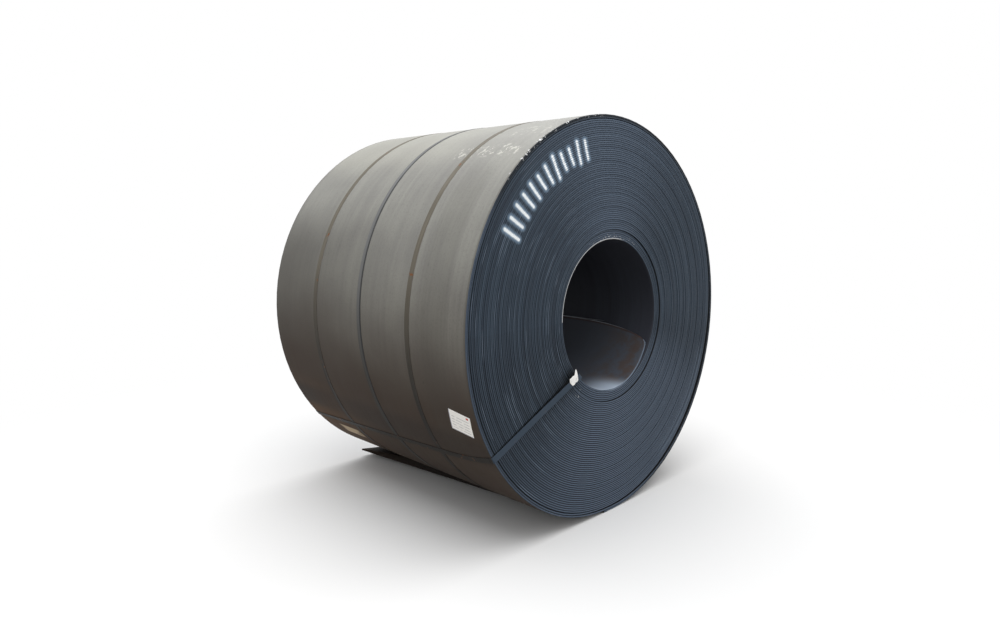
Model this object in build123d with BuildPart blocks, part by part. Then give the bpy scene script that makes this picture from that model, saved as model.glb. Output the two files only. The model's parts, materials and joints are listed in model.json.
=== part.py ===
from build123d import *

import math
import os

os.makedirs("parts", exist_ok=True)

# Hot-rolled steel coil lying on its side, strapped round its girth and through its bore.
# X runs across the coil, Y along its axis from the marked face to the far face, Z is up.
# The origin is on the floor under the middle of the coil. Lengths in mm, angles in degrees.
# Angles on the faces are counted from +X towards +Z, as seen from the marked face.

# Strip and winding
bore_diameter = 762.0
strip_width = 1580.0
strip_gauge = 9.0
lap_gap = 0.67
lap_count = 64

# Ends: turns lie in groups that wandered along the axis as the strip was wound
turns_per_group = 8
turn_wander = 1.5
group_shuffle = 3

# Slack between the loose outer turns and the tight body, widest where it sags, low on the +X side
loose_turns = 2
slack_narrow = 2.5
slack_shift = 13.0
slack_angle = -30.0
slack_depth = 60.0

# Inner end of the strip: a rounded tongue, and the next turn climbing over it
head_angle = -16.0
head_climb = 70.0
tongue_round_along = 540.0
tongue_round_across = 100.0

# Outer end of the strip, sprung out at floor level, with one long corner at the far face
tail_radius = 2640.0
tail_lift = 0.6
tail_reach = 276.0
tail_corner_reach = 445.0
tail_corner_length = 380.0

# Flat steel straps
strap_width = 32.0
strap_gauge = 1.0
front_girth_station = 388.0
middle_girth_station = 764.0
rear_girth_station = 1165.0
front_girth_lean = 0.2
middle_girth_lean = 2.8
rear_girth_lean = 0.8
eye_bore_angle = -136.5
eye_front_rim_angle = -147.5
eye_bend_angle = -144.0
eye_rear_rim_angle = -138.5
eye_bend_station = 300.0

# Paper label and torn tag
label_length = 132.0
label_height = 107.0
label_gauge = 0.3
label_station = 115.0
label_angle = -157.4
label_turn = -9.3
tag_length = 62.0
tag_width = 70.0
tag_gauge = 0.8

# Sizes that follow
lap_pitch = strip_gauge + lap_gap
bore_radius = bore_diameter / 2
wall = lap_count * lap_pitch
outer_radius = bore_radius + wall
axis_height = outer_radius + strap_gauge
half_width = strip_width / 2
face_reach = half_width + turn_wander
strapped_radius = outer_radius + strap_gauge
coil_axis = Axis((0, 0, axis_height), (0, 1, 0))


def polar(radius, angle):
    """Point at a radius and an angle about the coil's axis, in a plane across the coil."""
    return (radius * math.cos(math.radians(angle)), radius * math.sin(math.radians(angle)))


def cross_plane(station, angle=0):
    """Plane across the coil at a distance from mid-width, seen from the marked face, its x at an angle."""
    across, up = polar(1, angle)
    return Plane(origin=(0, station, axis_height), x_dir=(across, 0, up), z_dir=(0, -1, 0))


def radial_plane(angle):
    """Plane through the axis that faces outwards at an angle; its x runs along the axis."""
    across, up = polar(1, angle)
    return Plane(origin=(0, 0, axis_height), x_dir=(0, 1, 0), z_dir=(across, 0, up))


# Tail: the outer turn leaves the coil under its lowest line and curves away wider than the coil
tail_centre = -outer_radius + tail_lift + tail_radius
tail_corner_sweep = math.degrees(math.asin(tail_corner_reach / tail_radius))
tail_trim = tail_corner_reach + strip_gauge
with BuildPart() as tail:
    with BuildSketch(cross_plane(-half_width)):
        with BuildLine():
            underside = CenterArc((0, tail_centre), tail_radius, -90, -tail_corner_sweep)
            topside = CenterArc((0, tail_centre), tail_radius - strip_gauge, -90, -tail_corner_sweep)
            Line(underside @ 0, topside @ 0)
            Line(underside @ 1, topside @ 1)
        make_face()
    extrude(amount=-strip_width)
    with BuildSketch(Plane.XY):
        with BuildLine():
            Polyline(
                (-tail_reach, -half_width),
                (-tail_reach, half_width - tail_corner_length),
                (-tail_corner_reach, half_width),
                (-tail_trim, half_width),
                (-tail_trim, -half_width),
                close=True,
            )
        make_face()
    extrude(amount=axis_height, mode=Mode.SUBTRACT)

# Corner of the strip's inner end, rounded off to a tongue
head_floor = bore_radius + lap_pitch
with BuildPart() as tongue_corner:
    with BuildSketch(cross_plane(-face_reach)):
        Circle(head_floor)
    extrude(amount=-(tongue_round_along + turn_wander))
    with BuildSketch(radial_plane(head_angle)):
        with BuildLine():
            EllipticalCenterArc(
                (-half_width + tongue_round_along, -tongue_round_across),
                tongue_round_along,
                tongue_round_across,
                start_angle=90,
                arc_size=90,
            )
            Polyline(
                (-half_width, -tongue_round_across),
                (-face_reach, -tongue_round_across),
                (-face_reach, lap_pitch),
                (-half_width + tongue_round_along, lap_pitch),
                (-half_width + tongue_round_along, 0),
            )
        make_face()
    extrude(amount=head_floor, mode=Mode.INTERSECT)

# Coil: groups of turns, each the full width of the strip, turned into one solid
group_count = round(lap_count / turns_per_group)
group_wall = wall / group_count
slack_outside = outer_radius - loose_turns * lap_pitch
slack_inside = slack_outside - slack_narrow - slack_shift
with BuildPart() as coil:
    with BuildSketch(Plane.XY.offset(axis_height)):
        for group in range(group_count):
            dealt = group * group_shuffle % group_count
            drift = turn_wander * (2 * dealt / (group_count - 1) - 1)
            with Locations((bore_radius + (group + 0.5) * group_wall, drift)):
                Rectangle(group_wall, strip_width)
    revolve(axis=coil_axis)
    add(tail.part)
    for end in (-1, 1):
        with BuildSketch(cross_plane(end * face_reach)):
            Circle(slack_outside)
            with Locations(polar(-slack_shift, slack_angle)):
                Circle(slack_inside, mode=Mode.SUBTRACT)
        extrude(amount=end * slack_depth, mode=Mode.SUBTRACT)
    with BuildSketch(cross_plane(-face_reach)):
        with BuildLine():
            climb_start = polar(bore_radius, head_angle + head_climb)
            climb_middle = polar(bore_radius + lap_pitch / 2, head_angle + head_climb / 2)
            climb_end = polar(head_floor, head_angle)
            ThreePointArc(climb_start, climb_middle, climb_end)
            Polyline(climb_end, polar(bore_radius - lap_pitch, head_angle), climb_start)
        make_face()
    extrude(amount=-2 * face_reach, mode=Mode.SUBTRACT)
    add(tongue_corner.part, mode=Mode.SUBTRACT)
    add(mirror(tongue_corner.part, about=Plane.XZ, mode=Mode.PRIVATE), mode=Mode.SUBTRACT)
coil.part.label = "coil"
export_step(coil.part, "parts/coil.step")

# Girth straps: each goes round the coil and under the tail, pulled straight from its end to the coil
tail_sweep = math.degrees(math.asin(tail_reach / tail_radius))
tail_end_up = tail_centre - math.sqrt(tail_radius**2 - tail_reach**2)
tail_end_distance = math.hypot(tail_reach, tail_end_up)
tail_end_angle = math.degrees(math.atan2(tail_end_up, -tail_reach))
lift_off_angle = tail_end_angle - math.degrees(math.acos(outer_radius / tail_end_distance))
with BuildSketch() as girth:
    with BuildLine():
        under_tail = CenterArc((0, tail_centre), tail_radius, -90, -tail_sweep)
        Polyline(under_tail @ 1, polar(outer_radius, lift_off_angle), (0, 0), under_tail @ 0)
    make_face()
    Circle(outer_radius)

girth_straps = {
    "girth_strap_front": (front_girth_station, front_girth_lean),
    "girth_strap_middle": (middle_girth_station, middle_girth_lean),
    "girth_strap_rear": (rear_girth_station, rear_girth_lean),
}
for name, (station, lean) in girth_straps.items():
    strap_plane = cross_plane(station - half_width)
    lean_reach = strapped_radius * math.tan(math.radians(lean)) + strap_width
    with BuildPart() as girth_strap:
        with BuildSketch(strap_plane):
            offset(girth.sketch, amount=strap_gauge)
            add(girth.sketch, mode=Mode.SUBTRACT)
        extrude(amount=lean_reach, both=True)
        with BuildSketch(strap_plane.rotated((lean, 0, 0))):
            Rectangle(3 * strapped_radius, 3 * strapped_radius)
        extrude(amount=strap_width / 2, both=True, mode=Mode.INTERSECT)
    girth_strap.part.label = name
    export_step(girth_strap.part, f"parts/{name}.step")

# Eye strap, outside run: bent near the marked face, then straight, over the girth straps
eye_reach = face_reach + strap_gauge
eye_outside_angle = (eye_front_rim_angle + eye_rear_rim_angle) / 2


def across_eye(angle):
    """Distance of an angle on the outer turn from the middle of the eye strap's outside run."""
    return strapped_radius * math.sin(math.radians(angle - eye_outside_angle))


with BuildPart() as eye_outside:
    with BuildSketch(cross_plane(-eye_reach)):
        Circle(strapped_radius + strap_gauge)
        Circle(strapped_radius, mode=Mode.SUBTRACT)
    extrude(amount=-2 * eye_reach)
    with BuildSketch(radial_plane(eye_outside_angle)):
        with BuildLine():
            bend = (eye_bend_station - half_width, across_eye(eye_bend_angle))
            straight = Line((eye_reach + strap_width, across_eye(eye_rear_rim_angle)), bend)
            TangentArc(bend, (-eye_reach, across_eye(eye_front_rim_angle)), tangent=straight % 1)
        trace(line_width=strap_width)
    extrude(amount=2 * strapped_radius, mode=Mode.INTERSECT)

# Eye strap, run through the bore
with BuildPart() as eye_bore:
    with BuildSketch(cross_plane(-eye_reach)):
        Circle(bore_radius)
        Circle(bore_radius - strap_gauge, mode=Mode.SUBTRACT)
    extrude(amount=-2 * eye_reach)
    with BuildSketch(radial_plane(eye_bore_angle)):
        Rectangle(2 * eye_reach, strap_width)
    extrude(amount=bore_diameter, mode=Mode.INTERSECT)

# Eye strap: both face runs, straight from the bore's edge to the rim, joined to the other two
with BuildPart() as eye_strap:
    for end, rim_angle in ((-1, eye_front_rim_angle), (1, eye_rear_rim_angle)):
        inner_x, inner_z = polar(bore_radius, eye_bore_angle)
        rim_x, rim_z = polar(strapped_radius, rim_angle)
        run_middle = ((inner_x + rim_x) / 2, (inner_z + rim_z) / 2)
        run_turn = math.degrees(math.atan2(rim_z - inner_z, rim_x - inner_x))
        with BuildSketch(cross_plane(end * face_reach)):
            Circle(strapped_radius + strap_gauge)
            Circle(bore_radius - strap_gauge, mode=Mode.SUBTRACT)
            with Locations(Location(run_middle, run_turn)):
                Rectangle(wall + bore_radius, strap_width, mode=Mode.INTERSECT)
        extrude(amount=-end * strap_gauge)
    add(eye_outside.part)
    add(eye_bore.part)
eye_strap.part.label = "eye_strap"
export_step(eye_strap.part, "parts/eye_strap.step")

# Label, bent round the outer turn
with BuildPart() as label:
    with BuildSketch(cross_plane(-half_width)):
        Circle(outer_radius + label_gauge)
        Circle(outer_radius, mode=Mode.SUBTRACT)
    extrude(amount=-2 * (label_station + label_length))
    with BuildSketch(radial_plane(label_angle)):
        with Locations((label_station - half_width, 0)):
            Rectangle(label_length, label_height, rotation=label_turn)
    extrude(amount=2 * outer_radius, mode=Mode.INTERSECT)
label.part.label = "label"
export_step(label.part, "parts/label.step")

# Torn tag on the eye strap, flush with the strap's bend into the bore
tag_near = bore_radius - tag_length / 3
tag_far = tag_near + tag_length
with BuildPart() as strap_tag:
    with BuildSketch(cross_plane(-eye_reach, eye_bore_angle)):
        with BuildLine():
            Polyline(
                (tag_near, tag_width / 2),
                (bore_radius, tag_width / 5),
                (bore_radius + tag_length / 3, tag_width / 2),
                (tag_far, -tag_width / 6),
                (bore_radius + tag_length / 6, -tag_width / 2),
                (tag_near, -tag_width / 4),
                close=True,
            )
        make_face()
        Circle(bore_radius - strap_gauge, mode=Mode.SUBTRACT)
    extrude(amount=tag_gauge)
strap_tag.part.label = "strap_tag"
export_step(strap_tag.part, "parts/strap_tag.step")
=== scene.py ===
"""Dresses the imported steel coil: the wound strip, its straps, its paper label and the torn tag."""

import json
import logging
import math
from collections.abc import Iterator
from dataclasses import dataclass
from enum import Enum
from functools import cached_property
from typing import Any

import bmesh
import bpy
from mathutils import Matrix, Vector


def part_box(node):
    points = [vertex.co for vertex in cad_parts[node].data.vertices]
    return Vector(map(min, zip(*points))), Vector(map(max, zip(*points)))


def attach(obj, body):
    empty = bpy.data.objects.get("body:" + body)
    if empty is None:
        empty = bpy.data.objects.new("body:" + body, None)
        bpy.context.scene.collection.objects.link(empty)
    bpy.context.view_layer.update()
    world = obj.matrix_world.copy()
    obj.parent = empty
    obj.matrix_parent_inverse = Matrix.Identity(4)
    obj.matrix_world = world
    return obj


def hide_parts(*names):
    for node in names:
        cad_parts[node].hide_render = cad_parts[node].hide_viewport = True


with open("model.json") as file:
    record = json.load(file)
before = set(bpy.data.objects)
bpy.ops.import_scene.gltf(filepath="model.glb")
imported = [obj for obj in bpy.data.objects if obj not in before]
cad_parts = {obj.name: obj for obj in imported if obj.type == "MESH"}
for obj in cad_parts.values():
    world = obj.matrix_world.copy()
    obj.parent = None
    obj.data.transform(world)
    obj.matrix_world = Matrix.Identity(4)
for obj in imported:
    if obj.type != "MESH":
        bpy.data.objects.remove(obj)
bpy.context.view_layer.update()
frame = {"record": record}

log = logging.getLogger("steel_coil")
MM = 0.001
WELD = 0.01 * MM
# Degrees between faces past which an edge is shaded sharp
SHARP = 50.0
# Wider than the rounding of numbers kept at a mesh's points, and of turns worked out
CLOSE = 1e-4
ROUNDING = 1e-9
SMOOTH = {"interpolation_type": "SMOOTHSTEP"}
Socket = bpy.types.NodeSocket
Mark = bpy.types.NodeSocket | float
Layer = tuple[str | Mark, ...]
Section = list[Vector]
# A place on a strap's side towards the coil, with the direction away from the coil
Stop = tuple[Vector, Vector]


class Slot(Enum):
    """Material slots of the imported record."""

    STRIP = "mill_scale"
    STRAP = "strap_steel"
    LABEL = "label_paper"
    TAG = "tag_paper"


class StripFace(Enum):
    """Which of the coil's two finishes a face of the strip takes."""

    ROLLED = 0
    EDGE = 1


def linear(colour: str) -> tuple[float, float, float, float]:
    """Turns an sRGB colour into linear light.

    Args:
        colour: Six hex digits.

    Returns:
        Red, green, blue and an alpha of one.
    """
    parts = [int(colour[place : place + 2], 16) / 255 for place in (0, 2, 4)]
    return (*(c / 12.92 if c <= 0.04045 else ((c + 0.055) / 1.055) ** 2.4 for c in parts), 1.0)


def eased(amount: float) -> float:
    """Smooth step from 0 to 1, level at both ends."""
    amount = min(max(amount, 0.0), 1.0)
    return amount * amount * (3 - 2 * amount)


def blend(start: float, end: float, amount: float) -> float:
    """Value part of the way from a start to an end."""
    return start + (end - start) * amount


def radial(angle: float) -> Vector:
    """Direction outwards from the coil's axis at an angle in degrees."""
    return Vector((math.cos(math.radians(angle)), 0, math.sin(math.radians(angle))))


@dataclass
class Shading:
    """Nodes of one material or of the world, with the patterns that the finishes share.

    Places on the coil are node outputs, in metres and in radians about the coil's axis.
    """

    owner: bpy.types.Material | bpy.types.World
    coil: "WoundStrip | None" = None

    def __post_init__(self) -> None:
        """Starts from an empty node tree."""
        self.owner.use_nodes = True
        self.owner.node_tree.nodes.clear()

    def node(
        self,
        kind: str,
        inputs: dict[str | int, Any] | None = None,
        out: str | int = 0,
        **settings: Any,
    ) -> Socket | None:
        """Adds a shader node.

        Args:
            kind: Node type, without Blender's ShaderNode prefix.
            inputs: A value, or the output to link, for each input by name or number.
            out: Name or number of the output wanted.
            settings: Properties of the node.

        Returns:
            The output, or None for a node that has none.
        """
        tree = self.owner.node_tree
        node = tree.nodes.new("ShaderNode" + kind)
        for name, value in settings.items():
            setattr(node, name, value)
        for name, value in (inputs or {}).items():
            if isinstance(value, Socket):
                tree.links.new(value, node.inputs[name])
            else:
                node.inputs[name].default_value = value
        return node.outputs[out] if node.outputs else None

    @cached_property
    def seat(self) -> Socket:
        """Place of the shaded point in the shared frame."""
        return self.node("TexCoord", out="Object")

    @cached_property
    def spot(self) -> Socket:
        """Place measured from the coil's axis.

        Returns:
            The place, or the one in the shared frame where no coil is given.
        """
        if self.coil is None:
            return self.seat
        drop = (0, 0, -self.coil.axis_height)
        return self.node("Mapping", {"Vector": self.seat, "Location": drop})

    @cached_property
    def along(self) -> Socket:
        """Distance along the axis from mid-width, towards the far face."""
        return self.node("SeparateXYZ", {0: self.spot}, "Y")

    @cached_property
    def across(self) -> Socket:
        """Distance to the right of the axis, seen from the marked face."""
        return self.along.node.outputs["X"]

    @cached_property
    def height(self) -> Socket:
        """Height above the axis."""
        return self.along.node.outputs["Z"]

    @cached_property
    def radius(self) -> Socket:
        """Distance from the axis."""
        flat = self.node("VectorMath", {0: self.spot, 1: (1, 0, 1)}, operation="MULTIPLY")
        return self.node("VectorMath", {0: flat}, "Value", operation="LENGTH")

    @cached_property
    def angle(self) -> Socket:
        """Angle about the axis."""
        return self.node("Math", {0: self.height, 1: self.across}, operation="ARCTAN2")

    @cached_property
    def near(self) -> Socket:
        """Distance from the marked face."""
        return self.node("Math", {0: self.along, 1: self.coil.half_width}, operation="ADD")

    @cached_property
    def marked(self) -> Socket:
        """1 at the marked face, 0 elsewhere."""
        return self.node("MapRange", {0: self.near, 1: 0.09, 2: 0.04})

    @cached_property
    def soil_and_shade(self) -> Socket:
        """Yard dirt and painted shade on the coil's lower half, darker towards the bottom.

        Returns:
            0 to 1, ragged at its upper limit.
        """
        noise = {"Vector": self.spot, "Scale": 1 / (400 * MM), "Detail": 3.0}
        ragged = {0: self.node("TexNoise", noise), 1: 0.16, 2: self.height}
        level = self.node("Math", ragged, operation="MULTIPLY_ADD")
        return self.node("MapRange", {0: level, 1: 0.45, 2: -0.34}, **SMOOTH)

    def band(self, value: Socket, low: float, high: float, fade: float) -> Socket:
        """Marks where a value lies in a band.

        Args:
            value: The value.
            low: Start of the band.
            high: End of the band.
            fade: Distance past each end at which the mark has faded out.

        Returns:
            1 in the band, falling to 0 outside it.
        """
        off = self.node("Math", {0: value, 1: (low + high) / 2}, operation="SUBTRACT")
        off = self.node("Math", {0: off}, operation="ABSOLUTE")
        half = (high - low) / 2
        return self.node("MapRange", {0: off, 1: half, 2: half + fade, 3: 1.0, 4: 0.0}, **SMOOTH)

    def sector(self, low: float, high: float, fade: float) -> Socket:
        """Marks a sector about the axis, its ends and fade in degrees."""
        return self.band(self.angle, *(math.radians(angle) for angle in (low, high, fade)))

    def blotches(self, size: float, low: float, high: float) -> Socket:
        """Marks irregular patches.

        Args:
            size: Size of the patches.
            low: Level of the noise at which a patch starts.
            high: Level at which it is full.

        Returns:
            0 to 1.
        """
        look = {"Vector": self.spot, "Scale": 1 / size, "Detail": 4.0, "Roughness": 0.6}
        return self.node("MapRange", {0: self.node("TexNoise", look), 1: low, 2: high}, **SMOOTH)

    def overlap(self, *marks: Mark) -> Mark:
        """Multiplies marks together.

        Args:
            marks: The marks, or plain amounts.

        Returns:
            What is left, only where all of them lie.
        """
        first, *others = marks
        for mark in others:
            first = self.node("Math", {0: first, 1: mark}, operation="MULTIPLY")
        return first

    def layered(self, base: Socket | str, *layers: Layer) -> Socket:
        """Lays colours over one another.

        Args:
            base: Lowest colour, or its hex value.
            layers: Hex colour of each layer, upwards, and the marks that it needs together.

        Returns:
            The colour that shows.
        """
        under = linear(base) if isinstance(base, str) else base
        for colour, *marks in layers:
            mix = {0: self.overlap(*marks), 6: under, 7: linear(colour)}
            under = self.node("Mix", mix, 2, data_type="RGBA")
        return under

    def surface(
        self, colour: Socket, roughness: Mark, ior: float, bump: tuple[Socket, float, float]
    ) -> bpy.types.Material:
        """Closes the material.

        Args:
            colour: Its colour.
            roughness: Its roughness.
            ior: Its index of refraction.
            bump: Height, strength and depth of its fine relief.

        Returns:
            The material.
        """
        normal = self.node("Bump", dict(zip(("Height", "Strength", "Distance"), bump)))
        look = {"Base Color": colour, "Roughness": roughness, "IOR": ior, "Normal": normal}
        self.node("OutputMaterial", {"Surface": self.node("BsdfPrincipled", look)})
        return self.owner


def sweep(bm: bmesh.types.BMesh, sections: list[Section]) -> None:
    """Extrudes a closed section through a row of places and welds the last one to the first.

    The layer "side" keeps which side of the band a point is on, from -1 to 1.

    Args:
        bm: Mesh that takes the swept band.
        sections: The section's corners at each place, the first place given again at the end.
    """
    bm.verts.layers.float.new("side")
    corner = bm.verts.layers.int.new("corner")
    side = bm.verts.layers.float["side"]
    count = len(sections[0])
    start = bmesh.ops.create_circle(bm, segments=count, radius=1.0)["verts"]
    for number, vert in enumerate(start):
        vert[corner] = number
        vert[side] = -1.0 if number < count / 2 else 1.0
        vert.co = sections[0][number]
    edges = list({edge for vert in start for edge in vert.link_edges})
    for section in sections[1:]:
        grown = bmesh.ops.extrude_edge_only(bm, edges=edges)["geom"]
        edges = [part for part in grown if isinstance(part, bmesh.types.BMEdge)]
        for part in grown:
            if isinstance(part, bmesh.types.BMVert):
                part.co = section[part[corner]]
    bmesh.ops.remove_doubles(bm, verts=bm.verts[:], dist=WELD)
    bmesh.ops.recalc_face_normals(bm, faces=bm.faces[:])
    bm.verts.layers.int.remove(corner)


def thickened(bm: bmesh.types.BMesh, lift: tuple[float, float, float]) -> None:
    """Makes a sheet solid by lifting a copy of it off itself.

    Args:
        bm: Mesh of the sheet.
        lift: Thickness of the sheet, as a vector.
    """
    lifted = bmesh.ops.extrude_face_region(bm, geom=bm.faces[:], use_keep_orig=True)["geom"]
    raised = [part for part in lifted if isinstance(part, bmesh.types.BMVert)]
    bmesh.ops.translate(bm, vec=lift, verts=raised)


def finished_piece(
    bm: bmesh.types.BMesh,
    name: str,
    materials: list[bpy.types.Material],
    sharp: float = SHARP,
) -> bpy.types.Object:
    """Turns a mesh into a piece that stands for the CAD node of the same name.

    Args:
        bm: Finished mesh, in place.
        name: Name of the CAD node.
        materials: Finishes, in the order of the faces' material numbers.
        sharp: Angle in degrees past which an edge is shaded sharp.

    Returns:
        The piece.
    """
    for face in bm.faces:
        face.smooth = True
    for edge in bm.edges:
        edge.smooth = edge.calc_face_angle(0.0) < math.radians(sharp)
    mesh = bpy.data.meshes.new(name + "_dressed")
    bm.to_mesh(mesh)
    bm.free()
    for material in materials:
        mesh.materials.append(material)
    piece = bpy.data.objects.new(name + "_dressed", mesh)
    bpy.context.scene.collection.objects.link(piece)
    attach(piece, "root")
    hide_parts(name)
    triangles = sum(len(face.vertices) - 2 for face in mesh.polygons)
    log.info("%s: %d triangles", piece.name, triangles)
    return piece


@dataclass(frozen=True)
class TallyMarks:
    """White paint sprayed on the marked face: plain tally strokes with a thin bluish overspray."""

    paint: str = "f4f9fd"
    haze: str = "9dbad6"
    first_angle: float = 103.0
    pitch: float = 4.1
    count: int = 12
    radius: float = 842.0 * MM
    half: float = 50.0 * MM
    width: float = 14.0 * MM
    overspray: float = 21.0 * MM

    def layers(self, shade: Shading) -> list[Layer]:
        """Sprays the strokes along an arc.

        Args:
            shade: Nodes of a finish on the coil.

        Returns:
            The overspray and the solid paint.
        """
        pitch, start = math.radians(self.pitch), math.radians(self.first_angle)
        run = shade.node("Math", {0: shade.angle, 1: start}, operation="SUBTRACT")
        run = shade.node("Math", {0: run, 1: pitch}, operation="DIVIDE")
        stroke = shade.node("Math", {0: run}, operation="FLOOR")
        off = shade.node("Math", {0: run, 1: stroke}, operation="SUBTRACT")
        off = shade.node("Math", {0: off, 1: 0.5}, operation="SUBTRACT")
        # Each stroke has its own lean and length
        chance = shade.node("TexWhiteNoise", {"W": stroke}, "Value", noise_dimensions="1D")
        lean = shade.node("MapRange", {0: chance, 3: -0.6, 4: 1.8})
        half = shade.node("MapRange", {0: chance, 3: self.half * 1.12, 4: self.half * 0.72})
        rise = shade.node("Math", {0: shade.radius, 1: self.radius}, operation="SUBTRACT")
        slant = shade.node("Math", {0: rise, 1: lean}, operation="MULTIPLY")
        off = shade.node("Math", {0: off, 1: slant}, operation="SUBTRACT")
        side = shade.node("Math", {0: off, 1: pitch * self.radius}, operation="MULTIPLY")
        length = shade.node("Math", {0: rise}, operation="ABSOLUTE")
        over = shade.node("Math", {0: length, 1: half}, operation="SUBTRACT")
        over = shade.node("Math", {0: over, 1: 0.0}, operation="MAXIMUM")
        gap = shade.node("CombineXYZ", {0: side, 1: over})
        gap = shade.node("VectorMath", {0: gap}, "Value", operation="LENGTH")
        core = self.width / 2
        solid = shade.node("MapRange", {0: gap, 1: core + 5 * MM, 2: core - 4 * MM}, **SMOOTH)
        fade = {0: gap, 1: core + self.overspray, 2: core, 3: 0.0, 4: 0.45}
        haze = shade.node("MapRange", fade, **SMOOTH)
        cover = shade.node("MapRange", {0: shade.blotches(9 * MM, 0.3, 0.55), 3: 0.88, 4: 1.0})
        row = shade.overlap(shade.band(run, 0.02, self.count - 0.02, 0.01), shade.marked)
        return [(self.haze, haze, row), (self.paint, solid, cover, row)]


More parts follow.
